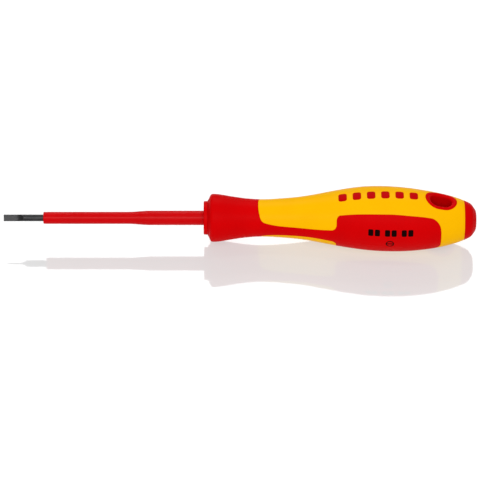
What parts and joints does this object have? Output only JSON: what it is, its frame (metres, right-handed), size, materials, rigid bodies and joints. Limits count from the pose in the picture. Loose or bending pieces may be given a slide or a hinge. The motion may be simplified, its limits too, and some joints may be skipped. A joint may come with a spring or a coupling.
{
  "type": "insulated screwdriver",
  "caption": "Insulated slotted screwdriver: sleeved blade, two-material handle with flared finger guard, soft side panels and an oval hanging hole through the tail.",
  "frame": {"origin": "centre of the blade tip's end edge, on the tool's axis", "axes": "+X along the tool's axis from the tip to the handle's end; +Z along the hanging hole, through the lobe with the inlays; the soft panels face -Y and +Y, and the tail leans 1.2 mm towards -Y"},
  "size_m": [0.177, 0.0246, 0.0244],
  "materials": {
    "blade_steel": "dark, finely ground",
    "red_insulation": "satin",
    "red_hard": "satin",
    "core_plastic": "as moulded",
    "red_soft": "soft-touch, fine matt texture",
    "yellow_hard": "satin",
    "red_inlay": "flush inlay",
    "black_print": "printed ink"
  },
  "bodies": {
    "root": {"blade": "blade_steel", "blade_sleeve": "red_insulation", "nose_collar": "red_hard", "handle_core": "core_plastic", "soft_grip": "red_soft", "hard_shell": "yellow_hard", "hanging_hole_liner": "red_hard", "end_cap": "red_hard", "inlay_pips": "red_inlay", "printed_marks": "black_print"}
  },
  "joints": []
}
